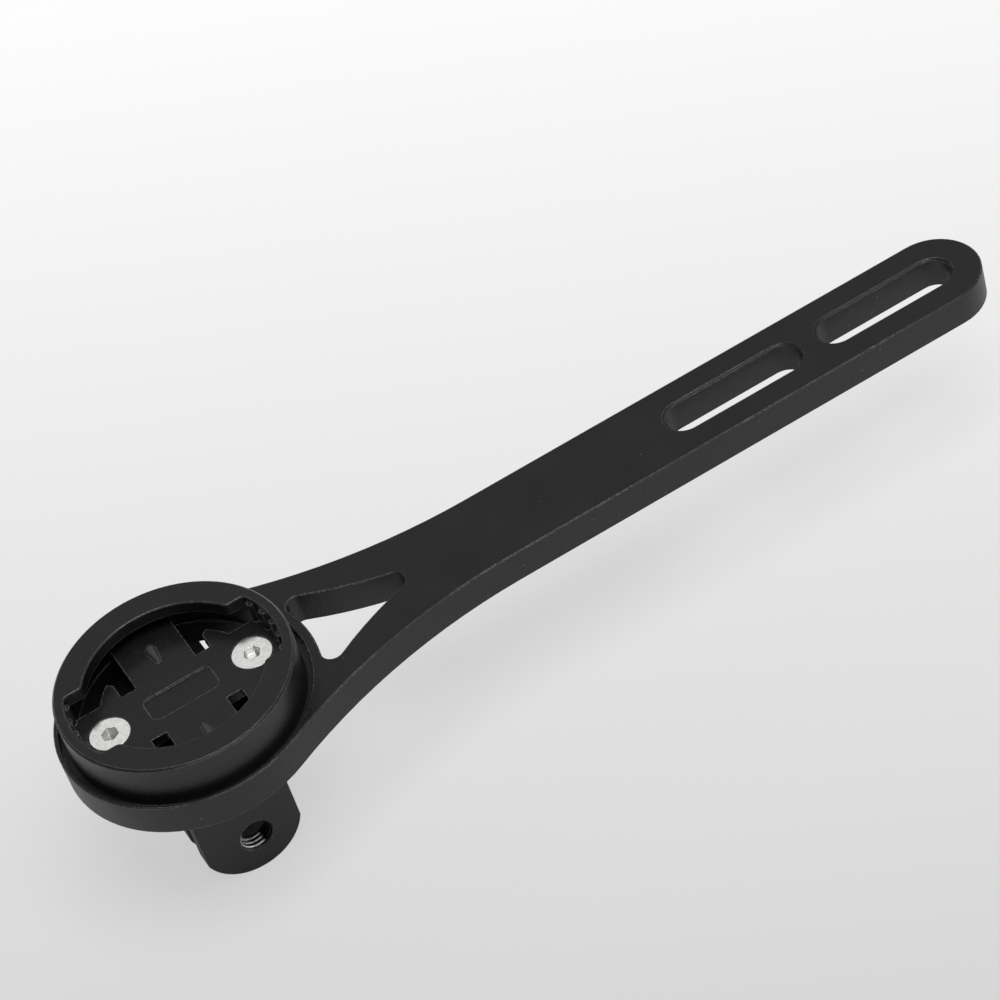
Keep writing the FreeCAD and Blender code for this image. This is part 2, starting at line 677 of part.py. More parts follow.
def add_detents(body):
    """Two bumps on the floor, each the upper half of a slim cone with a round outer end."""
    sketch = new_sketch(body, "DetentProfile", role="YZ_Plane")
    sketch.setExpression(".AttachmentOffset.Base.y", size("floor_level").text)
    tip = size("detent_tip_radius")
    radius = size("detent_end_radius")
    end_y = notch_radius - size("detent_wall_gap")
    start_y = end_y - size("detent_length")
    centre_y = end_y - radius
    # The flank touches the round end where its normal leans back by the cone's own angle.
    span = math.hypot(centre_y - start_y, tip)
    touch = math.pi - math.atan2(tip, centre_y - start_y) - math.acos(radius / span)
    touch_y = centre_y + radius * math.cos(touch)
    touch_z = radius * math.sin(touch)
    base, round_end, flank, front = draw_loop(sketch, [
        (False, (start_y, 0), (end_y, 0), None),
        (False, (end_y, 0), (touch_y, touch_z), (centre_y, 0)),
        (True, (touch_y, touch_z), (start_y, tip), None),
        (False, (start_y, tip), (start_y, 0), None),
    ])
    fixed(sketch, "PointOnObject", base.index, 1, -1)
    fixed(sketch, "PointOnObject", base.index, 2, -1)
    fixed(sketch, "PointOnObject", round_end.index, 3, -1)
    fixed(sketch, "Vertical", front.index)
    bound(sketch, radius, "Radius", round_end.index)
    place(sketch, "DistanceX", round_end.index, 3, centre_y)
    place(sketch, "DistanceX", base.index, 1, start_y)
    place(sketch, "DistanceY", flank.index, 2, tip)
    bump = body.newObject("PartDesign::Revolution", "DetentTurn")
    bump.Profile = sketch
    bump.ReferenceAxis = (sketch, ["H_Axis"])
    bump.Angle = 360
    sketch.Visibility = False
    mirrored(body, "DetentMirror", [bump], "XZ_Plane")


def draw_first_ribs(body):
    """The first rib of each notch; a pattern adds the others."""
    sketch = new_sketch(body, "RibOutlines", height=size("floor_level"))
    steps = (RIBS_PER_NOTCH - 1) / 2
    turn = math.radians(steps * size("rib_spacing"))
    turn_text = f"({steps} * Sizes.rib_spacing * 1deg)"
    rib_x = Length(notch_radius * math.cos(turn), f"{notch_radius.text} * cos{turn_text}")
    rib_y = Length(notch_radius * math.sin(turn), f"{notch_radius.text} * sin{turn_text}")
    for side in (1, -1):
        rib = add_circle(sketch, (side * rib_x, -side * rib_y), size("rib_radius"))
        place(sketch, "DistanceX", rib, 3, rib_x, side)
        place(sketch, "DistanceY", rib, 3, rib_y, -side)
    return sketch


def countersunk_holes(body, name, sketch, reverse=False):
    """Through holes whose cones carry the heads of the screws."""
    sketch.Visibility = False
    doc.recompute()
    holes = body.newObject("PartDesign::Hole", name)
    holes.Profile = sketch
    holes.DepthType = "ThroughAll"
    holes.HoleCutType = "Countersink"
    holes.HoleCutCustomValues = True
    holes.HoleCutCountersinkAngle = 90
    holes.Reversed = reverse
    holes.setExpression("Diameter", (through_radius * 2).text)
    holes.setExpression("HoleCutDiameter", (head_seat_radius * 2).text)
    doc.recompute()
    return holes


def make_quarter_turn_insert():
    body = new_body("quarter_turn_insert")
    foot = -size("seat_depth")
    floor = size("floor_level")
    thickness = size("floor_thickness")
    wall_sketch = new_sketch(body, "WallOutline", height=foot)
    centred_circle(wall_sketch, size("cradle_radius"))
    centred_circle(wall_sketch, notch_radius)
    pad(body, "WallPad", wall_sketch, size("cradle_height") - foot)
    floor_sketch = new_sketch(body, "FloorOutline", height=floor)
    centred_circle(floor_sketch, middle_of_wall)
    pad(body, "FloorPad", floor_sketch, thickness, downward=True)
    pocket(body, "WindowPocket", draw_windows(body), thickness)
    lip = pad(body, "LipPad", draw_lip(body), size("lip_thickness"))
    mirrored(body, "LipMirror", [lip], "XZ_Plane")
    boss_sketch = draw_screw_circles(
        body, "BossOutlines", cradle_screw_reach, boss_radius, height=foot)
    pad(body, "BossPad", boss_sketch, floor - thickness - foot)
    screw_sketch = draw_screw_circles(
        body, "ScrewAxes", cradle_screw_reach, size("screw_radius"), height=floor)
    countersunk_holes(body, "ScrewHoles", screw_sketch)
    pocket(body, "PanelPocket", draw_panel(body), size("panel_depth"))
    add_detents(body)
    rib_sketch = draw_first_ribs(body)
    rib = pad(body, "RibPad", rib_sketch, size("rib_height"))
    ribs = polar_copies(body, "RibPattern", rib, rib_sketch, RIBS_PER_NOTCH)
    ribs.setExpression("Angle", (size("rib_spacing") * (RIBS_PER_NOTCH - 1)).text)
    doc.recompute()
    top = size("cradle_height")
    outside = size("cradle_radius")
    beyond_notch = notch_radius + NEAR_ZERO
    top_edges = flat_edges(ribs.Shape, top, within(beyond_notch, outside + NEAR_ZERO))
    broken = chamfer(body, "TopChamfer", ribs, top_edges, size("cradle_edge_break"))
    doc.recompute()
    lip_edges = flat_edges(broken.Shape, top, within(NEAR_ZERO, beyond_notch))
    broken = chamfer(body, "LipChamfer", broken, lip_edges, size("lip_edge_break"))
    doc.recompute()
    foot_edges = flat_edges(broken.Shape, foot, within(notch_radius - NEAR_ZERO, beyond_notch))
    chamfer(body, "FootChamfer", broken, foot_edges, size("wall_foot_break"))
    return body


# The camera bracket: a base plate under the ring, three prongs and the holes through them.

def draw_base(body):
    """A strip across the arm whose ends follow the ring."""
    sketch = new_sketch(body, "BaseOutline", height=plate_bottom)
    left = size("base_free_side")
    right = size("base_arm_side")
    reach = ring_radius - size("base_inset")
    left_y = other_leg(reach, left)
    right_y = other_leg(reach, right)
    left_side, near_end, right_side, far_end = draw_loop(sketch, [
        (False, (-left, left_y), (-left, -left_y), None),
        (False, (-left, -left_y), (right, -right_y), (0, 0)),
        (False, (right, -right_y), (right, right_y), None),
        (False, (right, right_y), (-left, left_y), (0, 0)),
    ])
    for side, piece, length in ((-1, left_side, left), (1, right_side, right)):
        fixed(sketch, "Vertical", piece.index)
        place(sketch, "DistanceX", piece.index, 1, length, side)
    for piece in (near_end, far_end):
        fixed(sketch, "Coincident", piece.index, 3, -1, 1)
        bound(sketch, reach, "Radius", piece.index)
    return sketch


def draw_prong(body):
    """The side view of a prong, drawn in the outer face of the near one."""
    sketch = new_sketch(body, "ProngOutline", role="XZ_Plane", height=near_prong_face)
    half = size("prong_half_width")
    radius = size("prong_end_radius")
    top = size("plate_thickness") + size("base_thickness") * 0.5
    centre = size("plate_thickness") + size("prong_end_drop")
    corner = centre + other_leg(radius, half)
    top_edge, left_side, round_end, right_side = draw_loop(sketch, [
        (False, (half, -top), (-half, -top), None),
        (False, (-half, -top), (-half, -corner), None),
        (False, (-half, -corner), (half, -corner), (0, -centre)),
        (False, (half, -corner), (half, -top), None),
    ])
    fixed(sketch, "Horizontal", top_edge.index)
    fixed(sketch, "PointOnObject", round_end.index, 3, -2)
    for side, piece in ((-1, left_side), (1, right_side)):
        fixed(sketch, "Vertical", piece.index)
        place(sketch, "DistanceX", piece.index, 1, half, side)
    bound(sketch, radius, "Radius", round_end.index)
    place(sketch, "DistanceY", top_edge.index, 1, top, side=-1)
    place(sketch, "DistanceY", round_end.index, 3, centre, side=-1)
    return sketch


def draw_prong_hole(body, name, face, radius):
    sketch = new_sketch(body, name, role="XZ_Plane", height=face)
    shift = size("prong_hole_shift")
    drop = size("plate_thickness") + size("prong_hole_drop")
    hole = add_circle(sketch, (shift, -drop), radius)
    place(sketch, "DistanceX", hole, 3, shift)
    place(sketch, "DistanceY", hole, 3, drop, side=-1)
    return sketch


def outer_hole_rims(shape):
    """Names the rims of the prongs' holes in the bracket's two outer faces."""
    names = []
    for index, edge in enumerate(shape.Edges, start=1):
        box = edge.BoundBox
        in_face = abs(abs(box.Center.y) - near_prong_face) < NEAR_ZERO and box.YLength < NEAR_ZERO
        if in_face and isinstance(edge.Curve, Part.Circle) and edge.isClosed():
            names.append(f"Edge{index}")
    return names


def make_camera_bracket():
    body = new_body("camera_bracket")
    thickness = size("prong_thickness")
    gap = size("prong_gap")
    pad(body, "BasePad", draw_base(body), size("base_thickness"), downward=True)
    prong_sketch = draw_prong(body)
    prong = pad(body, "ProngPad", prong_sketch, thickness, downward=True)
    prongs = body.newObject("PartDesign::LinearPattern", "ProngPattern")
    prongs.Originals = [prong]
    prongs.Direction = (prong_sketch, ["N_Axis"])
    prongs.Reversed = True
    prongs.Occurrences = PRONG_COUNT
    prongs.setExpression("Length", ((thickness + gap) * (PRONG_COUNT - 1)).text)
    body.Tip = prongs
    near_hole = draw_prong_hole(body, "NearHole", near_prong_face, size("prong_thread_radius"))
    pocket(body, "NearHolePocket", near_hole, thickness)
    middle_prong_face = near_prong_face - thickness - gap
    far_holes = draw_prong_hole(body, "FarHoles", middle_prong_face, size("prong_bore_radius"))
    pocket(body, "FarHolesPocket", far_holes, thickness * 2 + gap)
    screw_sketch = draw_screw_circles(
        body, "ScrewAxes", bracket_screw_reach, size("screw_radius"), height=base_bottom, turn=90)
    holes = countersunk_holes(body, "ScrewHoles", screw_sketch, reverse=True)
    chamfer(body, "HoleChamfer", holes, outer_hole_rims(holes.Shape), size("prong_edge_break"))
    return body


# The screws: four alike, two heads up in the cradle's floor and two heads down in the bracket.

def make_screw(number, x, y, z, turn=0, roll=0):
    """One screw along its own axis, head up with its top at zero, then turned and put in place."""
    cone_height = size("head_radius") - size("screw_radius")
    rim = doc.addObject("Part::Cylinder", f"ScrewRim{number}")
    rim.setExpression("Radius", size("head_radius").text)
    rim.setExpression("Height", size("head_rim").text)
    rim.setExpression(".Placement.Base.z", (-size("head_rim")).text)
    cone = doc.addObject("Part::Cone", f"ScrewCone{number}")
    cone.setExpression("Radius1", size("screw_radius").text)
    cone.setExpression("Radius2", size("head_radius").text)
    cone.setExpression("Height", cone_height.text)
    cone.setExpression(".Placement.Base.z", (-(size("head_rim") + cone_height)).text)
    shank = doc.addObject("Part::Cylinder", f"ScrewShank{number}")
    shank.setExpression("Radius", size("screw_radius").text)
    shank.setExpression("Height", (size("screw_length") - size("head_rim") - cone_height).text)
    shank.setExpression(".Placement.Base.z", (-size("screw_length")).text)
    whole = doc.addObject("Part::MultiFuse", f"ScrewWhole{number}")
    whole.Shapes = [rim, cone, shank]
    socket = doc.addObject("Part::Prism", f"ScrewSocket{number}")
    socket.Polygon = 6
    socket.setExpression("Circumradius", (size("socket_width") * (1 / math.sqrt(3))).text)
    socket.setExpression("Height", size("socket_depth").text)
    socket.setExpression(".Placement.Base.z", (-size("socket_depth")).text)
    screw = doc.addObject("Part::Cut", f"Screw{number}")
    screw.Base = whole
    screw.Tool = socket
    screw.Placement = FreeCAD.Placement(point(0, 0), FreeCAD.Rotation(turn, 0, roll))
    screw.setExpression(".Placement.Base.x", text_of(x))
    screw.setExpression(".Placement.Base.y", text_of(y))
    screw.setExpression(".Placement.Base.z", text_of(z))
    return screw


def make_m3_screws():
    """The first two are heads up, the others heads down; one hexagon socket stands turned."""
    screws = [
        make_screw(1, cradle_screw_reach, 0, size("floor_level")),
        make_screw(2, -cradle_screw_reach, 0, size("floor_level"), turn=30),
        make_screw(3, 0, bracket_screw_reach, base_bottom, roll=180),
        make_screw(4, 0, -bracket_screw_reach, base_bottom, roll=180),
    ]
    group = doc.addObject("Part::Compound", "m3_screws")
    group.Label = "m3_screws"
    group.Links = screws
    return group


# The whole model is built, checked and written, one file for each node.

nodes = [
    make_arm_plate(),
    make_quarter_turn_insert(),
    make_camera_bracket(),
    make_m3_screws(),
]
doc.recompute()

for item in doc.Objects:
    if "Invalid" in item.State or "Error" in item.State:
        raise RuntimeError(f"{item.Label} failed: {item.State}")

os.makedirs(OUTPUT_FOLDER, exist_ok=True)
for node in nodes:
    if node.Shape.isNull() or not node.Shape.isValid():
        raise RuntimeError(f"{node.Label} has no valid shape")
    node.Shape.exportStep(f"{OUTPUT_FOLDER}/{node.Label}.step")
    print(f"{node.Label}: {len(node.Shape.Solids)} solids, {node.Shape.Volume:.1f} mm3")
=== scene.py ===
import math

import bpy
from mathutils import Euler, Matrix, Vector


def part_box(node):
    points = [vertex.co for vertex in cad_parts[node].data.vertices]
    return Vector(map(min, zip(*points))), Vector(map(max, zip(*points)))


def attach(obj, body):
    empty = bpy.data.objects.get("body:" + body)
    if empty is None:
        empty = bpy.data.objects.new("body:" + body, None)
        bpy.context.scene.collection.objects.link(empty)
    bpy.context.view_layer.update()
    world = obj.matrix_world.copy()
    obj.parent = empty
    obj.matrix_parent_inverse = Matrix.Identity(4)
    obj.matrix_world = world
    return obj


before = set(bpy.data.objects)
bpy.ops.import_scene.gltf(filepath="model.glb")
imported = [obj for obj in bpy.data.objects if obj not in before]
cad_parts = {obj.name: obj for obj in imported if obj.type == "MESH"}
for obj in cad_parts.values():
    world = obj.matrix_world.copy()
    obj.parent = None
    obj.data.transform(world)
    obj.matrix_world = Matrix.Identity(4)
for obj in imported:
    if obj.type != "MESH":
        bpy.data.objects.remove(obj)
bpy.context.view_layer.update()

# An out-front bike computer mount: a black anodised arm and camera bracket, a black moulded
# cradle and four bright M3 screws. Lengths are in metres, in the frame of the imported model.

MM = 0.001
DEGREE = math.pi / 180

# The photograph's camera, fitted to the outlines of the arm, the ring and the cradle.
CAMERA_PLACE = (-52.516 * MM, -364.649 * MM, 367.191 * MM)
CAMERA_TURN = (44.7016 * DEGREE, 13.2423 * DEGREE, -29.1265 * DEGREE)
CAMERA_LENS_MM = 133.518
CAMERA_SENSOR_MM = 36.0
NEAREST_SEEN = 0.01
FURTHEST_SEEN = 20.0

# The cradle's floor, and how far its two detent bumps reach from its axis.
CRADLE_FLOOR = 1.7 * MM
BUMP_REACH = 12.3 * MM

# A rounded bead round the foot of the cradle's wall, seen through the far windows.
BEAD_RADIUS = 15.78 * MM
BEAD_LEVEL = -0.75 * MM
BEAD_THICKNESS = 0.24 * MM
BEAD_STEPS = 128
BEAD_SIDES = 12

# The M5 thread in the prong on the -Y side: its hole's axis runs along Y.
THREAD_X = 0.55 * MM
THREAD_Z = -23.3 * MM
THREAD_START_Y = -7.40 * MM
THREAD_END_Y = -4.65 * MM
THREAD_PITCH = 0.8 * MM
THREAD_RADIUS = 2.5 * MM
THREAD_DEPTH = 0.31 * MM
THREAD_STEPS_PER_TURN = 40
# At both ends the ridge shrinks to almost nothing over this share of its length.
THREAD_RUN_OUT = 0.07
THREAD_RUN_OUT_HEIGHT = 0.02


# Shared parts of the finishes.

# A colour Mix node has several sockets of one name, so they go by number.
MIX_SHARE = 0
MIX_FIRST = 6
MIX_SECOND = 7
MIX_COLOUR = 2

# Cosines between the true normal and a softened one at which the painted edge highlight starts
# and is full.
EDGE_HIGHLIGHT_STARTS = 0.985
EDGE_HIGHLIGHT_IS_FULL = 0.92
SOFTENING_SAMPLES = 8


def linear(hex_colour):
    """Turns an sRGB hex colour into the linear values that Blender's sockets take."""
    channels = [int(hex_colour[i:i + 2], 16) / 255 for i in (1, 3, 5)]
    return [c / 12.92 if c <= 0.04045 else ((c + 0.055) / 1.055) ** 2.4 for c in channels] + [1.0]


def add_node(tree, kind, settings=None, inputs=None):
    """Adds a node. An input is a value, an output to link, or a node with its first output."""
    made = tree.nodes.new(kind)
    for name, value in (settings or {}).items():
        setattr(made, name, value)
    for name, value in (inputs or {}).items():
        source = value.outputs[0] if isinstance(value, bpy.types.Node) else value
        if isinstance(source, bpy.types.NodeSocket):
            tree.links.new(source, made.inputs[name])
        else:
            made.inputs[name].default_value = source
    return made


def new_material(name):
    material = bpy.data.materials.new(name)
    material.use_nodes = True
    material.node_tree.nodes.clear()
    return material, material.node_tree


def finish_material(material, tree, inputs):
    surface = add_node(tree, "ShaderNodeBsdfPrincipled", inputs=inputs)
    add_node(tree, "ShaderNodeOutputMaterial", inputs={"Surface": surface})
    return material


def patchy(tree, place, size, bare, full, least=0.0, most=1.0, detail=2.0):
    """A share that varies in blotches of about the given size, from least to most.

    The blotches come from noise around 0.5: below bare it gives the least, above full the most.
    """
    blotches = add_node(tree, "ShaderNodeTexNoise", inputs={
        "Vector": place, "Scale": 1 / size, "Detail": detail})
    return add_node(tree, "ShaderNodeMapRange", inputs={
        "Value": blotches, "From Min": bare, "From Max": full, "To Min": least, "To Max": most})


def edge_mask(tree, width):
    """Is 1 on a sharp edge and falls to 0 within about the given width of it."""
    softened = add_node(tree, "ShaderNodeBevel", {"samples": SOFTENING_SAMPLES}, {
        "Radius": width})
    surface = add_node(tree, "ShaderNodeNewGeometry").outputs
    match = add_node(tree, "ShaderNodeVectorMath", {"operation": "DOT_PRODUCT"}, {
        0: softened, 1: surface["True Normal"]}).outputs["Value"]
    return add_node(tree, "ShaderNodeMapRange", inputs={
        "Value": match, "From Min": EDGE_HIGHLIGHT_STARTS, "From Max": EDGE_HIGHLIGHT_IS_FULL})


# Anodised aluminium of the arm and the bracket.

# Blasting leaves pits of about 0.05 mm; they are drawn at 0.4 mm so that they show.
PIT_SIZE = 0.4 * MM
PIT_DEPTH = 0.06 * MM
DYE_CLOUD_SIZE = 9.0 * MM
EDGE_HIGHLIGHT_WIDTH = 0.24 * MM
EDGE_HIGHLIGHT_PATCH_SIZE = 0.5 * MM
EDGE_HIGHLIGHT_STRETCH_SIZE = 16.0 * MM
NICK_SPACING = 1.1 * MM
ANODISED_EDGE_BREAK = 0.06 * MM


def make_anodised(name, base, cloud):
    """Bead-blasted, dyed anodised aluminium: a dead black skin with a soft satin sheen.

    A painted highlight lightens the sharpest edges a little, in a broken line.
    """
    material, tree = new_material(name)
    place = add_node(tree, "ShaderNodeTexCoord").outputs["Object"]
    pits = add_node(tree, "ShaderNodeTexNoise", inputs={
        "Vector": place, "Scale": 1 / PIT_SIZE, "Detail": 3.0})
    clouds = patchy(tree, place, DYE_CLOUD_SIZE, 0.35, 0.65, detail=3.0)
    dyed = add_node(tree, "ShaderNodeMix", {"data_type": "RGBA"}, {
        MIX_SHARE: clouds, MIX_FIRST: linear(base), MIX_SECOND: linear(cloud)})
    # The painted edge highlight is broken into short patches, and weakens over stretches of the
    # edge.
    broken = add_node(tree, "ShaderNodeMath", {"operation": "MULTIPLY"}, {
        0: patchy(tree, place, EDGE_HIGHLIGHT_PATCH_SIZE, 0.40, 0.60, least=0.1),
        1: patchy(tree, place, EDGE_HIGHLIGHT_STRETCH_SIZE, 0.42, 0.58, least=0.3, detail=1.0)})
    lightened = add_node(tree, "ShaderNodeMath", {"operation": "MULTIPLY"}, {
        0: edge_mask(tree, EDGE_HIGHLIGHT_WIDTH), 1: broken})
    # Painted highlight: the sharpest edges are mixed towards light grey.
    edge_highlighted = add_node(tree, "ShaderNodeMix", {"data_type": "RGBA"}, {
        MIX_SHARE: lightened, MIX_FIRST: dyed.outputs[MIX_COLOUR], MIX_SECOND: linear("#868687")})
    # Only the highest points of the noise become nicks in the skin, each about 0.3 mm across.
    nicks = patchy(tree, place, NICK_SPACING, 0.74, 0.80, most=0.6)
    nicked = add_node(tree, "ShaderNodeMix", {"data_type": "RGBA"}, {
        MIX_SHARE: nicks, MIX_FIRST: edge_highlighted.outputs[MIX_COLOUR], MIX_SECOND: linear("#6a6a6b")})
    pit_roughness = add_node(tree, "ShaderNodeMapRange", inputs={
        "Value": pits, "From Min": 0.3, "From Max": 0.7, "To Min": 0.36, "To Max": 0.44})
    softened = add_node(tree, "ShaderNodeBevel", {"samples": SOFTENING_SAMPLES}, {
        "Radius": ANODISED_EDGE_BREAK})
    return finish_material(material, tree, {
        "Base Color": nicked.outputs[MIX_COLOUR],
        "Roughness": add_node(tree, "ShaderNodeMath", {"operation": "MULTIPLY_ADD"}, {
            0: clouds, 1: 0.05, 2: pit_roughness}),
        "Normal": add_node(tree, "ShaderNodeBump", inputs={
            "Strength": 0.8, "Distance": PIT_DEPTH, "Height": pits, "Normal": softened}),
        "IOR": 1.5,
    })


# Moulded nylon of the cradle.

# Spark erosion leaves a grain of about 0.1 mm; it is drawn at 0.3 mm so that it shows.
GRAIN_SIZE = 0.3 * MM
GRAIN_DEPTH = 0.06 * MM
FLOW_MARK_SIZE = 6.0 * MM
NYLON_EDGE_HIGHLIGHT_WIDTH = 0.26 * MM
NYLON_EDGE_HIGHLIGHT_PATCH_SIZE = 0.6 * MM
NYLON_EDGE_BREAK = 0.10 * MM
# The heights above the floor where the bumps' rub starts and is full, and the width of its end.
RUB_STARTS = 0.05 * MM
RUB_IS_FULL = 0.3 * MM
RUB_FADE = 0.1 * MM


def make_moulded_nylon():
    """Glass-filled nylon from a spark-eroded mould: black, half dull, with a fine even grain.

    The computer's foot rubs the detent bumps to dark grey, and a painted highlight lightens the
    sharpest edges.
    """
    material, tree = new_material("moulded_black_nylon")
    place = add_node(tree, "ShaderNodeTexCoord").outputs["Object"]
    grain = add_node(tree, "ShaderNodeTexNoise", inputs={
        "Vector": place, "Scale": 1 / GRAIN_SIZE, "Detail": 3.0})
    moulded = add_node(tree, "ShaderNodeMix", {"data_type": "RGBA"}, {
        MIX_SHARE: patchy(tree, place, FLOW_MARK_SIZE, 0.35, 0.65),
        MIX_FIRST: linear("#0e0e0e"), MIX_SECOND: linear("#121213")})
    # The bumps are what stands above the floor inside the lips.
    axes = add_node(tree, "ShaderNodeSeparateXYZ", inputs={"Vector": place}).outputs
    flattened = add_node(tree, "ShaderNodeCombineXYZ", inputs={"X": axes["X"], "Y": axes["Y"]})
    from_axis = add_node(tree, "ShaderNodeVectorMath", {"operation": "LENGTH"}, {
        0: flattened}).outputs["Value"]
    above_floor = add_node(tree, "ShaderNodeMapRange", inputs={
        "Value": axes["Z"],
        "From Min": CRADLE_FLOOR + RUB_STARTS, "From Max": CRADLE_FLOOR + RUB_IS_FULL})
    inside_lips = add_node(tree, "ShaderNodeMapRange", inputs={
        "Value": from_axis, "From Min": BUMP_REACH, "From Max": BUMP_REACH + RUB_FADE,
        "To Min": 1.0, "To Max": 0.0})
    bumps = add_node(tree, "ShaderNodeMath", {"operation": "MULTIPLY"}, {
        0: above_floor, 1: inside_lips})
    lightened = add_node(tree, "ShaderNodeMix", {"data_type": "RGBA"}, {
        MIX_SHARE: bumps, MIX_FIRST: moulded.outputs[MIX_COLOUR], MIX_SECOND: linear("#3a3a3a")})
    # Painted highlight: the sharpest edges are mixed towards grey, in broken patches.
    edge_highlight_share = add_node(tree, "ShaderNodeMath", {"operation": "MULTIPLY"}, {
        0: edge_mask(tree, NYLON_EDGE_HIGHLIGHT_WIDTH),
        1: patchy(tree, place, NYLON_EDGE_HIGHLIGHT_PATCH_SIZE, 0.36, 0.60, least=0.2)})
    edge_highlighted = add_node(tree, "ShaderNodeMix", {"data_type": "RGBA"}, {
        MIX_SHARE: edge_highlight_share, MIX_FIRST: lightened.outputs[MIX_COLOUR], MIX_SECOND: linear("#666666")})
    softened = add_node(tree, "ShaderNodeBevel", {"samples": SOFTENING_SAMPLES}, {
        "Radius": NYLON_EDGE_BREAK})
    return finish_material(material, tree, {
        "Base Color": edge_highlighted.outputs[MIX_COLOUR],
        "Roughness": add_node(tree, "ShaderNodeMapRange", inputs={
            "Value": grain, "From Min": 0.3, "From Max": 0.7, "To Min": 0.30, "To Max": 0.42}),
        "Normal": add_node(tree, "ShaderNodeBump", inputs={
            "Strength": 0.8, "Distance": GRAIN_DEPTH, "Height": grain, "Normal": softened}),
        "IOR": 1.53,
    })


# Stainless steel of the screws.

# Tumbling leaves shallow dents of up to about half a millimetre.
DENT_SIZE = 0.5 * MM
DENT_DEPTH = 0.02 * MM
STEEL_EDGE_BREAK = 0.10 * MM
# How far a face's normal stands upright, from 0 to 1: up to where it is a wall, and from where
# it is a flat face.
WALL_BELOW = 0.6
FLAT_ABOVE = 0.9
SOCKET_EXTRA_ROUGHNESS = 0.25


def make_stainless():
    """Tumbled stainless steel: smooth bright heads, with rougher broached sockets and cones."""
    material, tree = new_material("tumbled_stainless_steel")
    place = add_node(tree, "ShaderNodeTexCoord").outputs["Object"]
    dents = add_node(tree, "ShaderNodeTexNoise", inputs={
        "Vector": place, "Scale": 1 / DENT_SIZE, "Detail": 3.0})
    surface = add_node(tree, "ShaderNodeNewGeometry").outputs
    facing = add_node(tree, "ShaderNodeSeparateXYZ", inputs={
        "Vector": surface["True Normal"]}).outputs["Z"]
    upright = add_node(tree, "ShaderNodeMath", {"operation": "ABSOLUTE"}, {0: facing})
    flat = add_node(tree, "ShaderNodeMapRange", inputs={
        "Value": upright, "From Min": WALL_BELOW, "From Max": FLAT_ABOVE})
    # Painted highlight: walls, such as those in the sockets, get a lighter metal colour than the
    # flat faces.
    steel = add_node(tree, "ShaderNodeMix", {"data_type": "RGBA"}, {
        MIX_SHARE: flat, MIX_FIRST: linear("#e6e6e4"), MIX_SECOND: linear("#dcdcda")})
    tumbled = add_node(tree, "ShaderNodeMapRange", inputs={
        "Value": dents, "From Min": 0.3, "From Max": 0.7, "To Min": 0.17, "To Max": 0.22})
    broached = add_node(tree, "ShaderNodeMapRange", inputs={
        "Value": flat, "To Min": SOCKET_EXTRA_ROUGHNESS, "To Max": 0.0})
    softened = add_node(tree, "ShaderNodeBevel", {"samples": SOFTENING_SAMPLES}, {
        "Radius": STEEL_EDGE_BREAK})
    return finish_material(material, tree, {
        "Base Color": steel.outputs[MIX_COLOUR],
        "Metallic": 1.0,
        "Roughness": add_node(tree, "ShaderNodeMath", {"operation": "ADD"}, {
            0: tumbled, 1: broached}),
        "Normal": add_node(tree, "ShaderNodeBump", inputs={
            "Strength": 0.05, "Distance": DENT_DEPTH, "Height": dents, "Normal": softened}),
    })


# Aluminium of the bracket's thread.

# A bolt smears the crests in streaks of about 0.1 mm; they are drawn at 0.4 mm so that they show.
SMEAR_SIZE = 0.4 * MM
THREAD_EDGE_BREAK = 0.08 * MM
# Towards the bright side, and how far that way from the thread's axis the bright metal starts and
# is full; away from it the thread is painted dark as shade.
BRIGHT_SIDE = Vector((-1.0, 0.0, -0.8)).normalized()
THREAD_BRIGHT_STARTS = 0.547 * MM
THREAD_BRIGHT_IS_FULL = 0.859 * MM


def make_thread_with_painted_shade():
    """Aluminium thread, bright on its lower side and painted dark grey on the rest as shade."""
    material, tree = new_material("aluminium_thread_with_painted_shade")
    place = add_node(tree, "ShaderNodeTexCoord").outputs["Object"]
    smears = add_node(tree, "ShaderNodeTexNoise", inputs={
        "Vector": place, "Scale": 1 / SMEAR_SIZE, "Detail": 2.0})
    smear_share = add_node(tree, "ShaderNodeMapRange", inputs={
        "Value": smears, "From Min": 0.35, "From Max": 0.65})
    bright = add_node(tree, "ShaderNodeMix", {"data_type": "RGBA"}, {
        MIX_SHARE: smear_share, MIX_FIRST: linear("#c4c4c4"), MIX_SECOND: linear("#e0e0df")})
    reach = add_node(tree, "ShaderNodeVectorMath", {"operation": "DOT_PRODUCT"}, {
        0: place, 1: tuple(BRIGHT_SIDE)}).outputs["Value"]
    axis_reach = BRIGHT_SIDE.dot(Vector((THREAD_X, 0.0, THREAD_Z)))
    lightened = add_node(tree, "ShaderNodeMapRange", inputs={
        "Value": reach,
        "From Min": axis_reach + THREAD_BRIGHT_STARTS, "From Max": axis_reach + THREAD_BRIGHT_IS_FULL})
    # Painted shade: the thread turns dark grey away from its bright lower side.
    colour = add_node(tree, "ShaderNodeMix", {"data_type": "RGBA"}, {
        MIX_SHARE: lightened, MIX_FIRST: linear("#202020"), MIX_SECOND: bright.outputs[MIX_COLOUR]})
    return finish_material(material, tree, {
        "Base Color": colour.outputs[MIX_COLOUR],
        "Metallic": 1.0,
        "Roughness": add_node(tree, "ShaderNodeMapRange", inputs={
            "Value": smears, "From Min": 0.3, "From Max": 0.7, "To Min": 0.30, "To Max": 0.38}),
        "Normal": add_node(tree, "ShaderNodeBevel", {"samples": SOFTENING_SAMPLES}, {
            "Radius": THREAD_EDGE_BREAK}),
    })


def dress(node_name, material):
    """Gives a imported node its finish."""
    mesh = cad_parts[node_name].data
    mesh.materials.clear()
    mesh.materials.append(material)


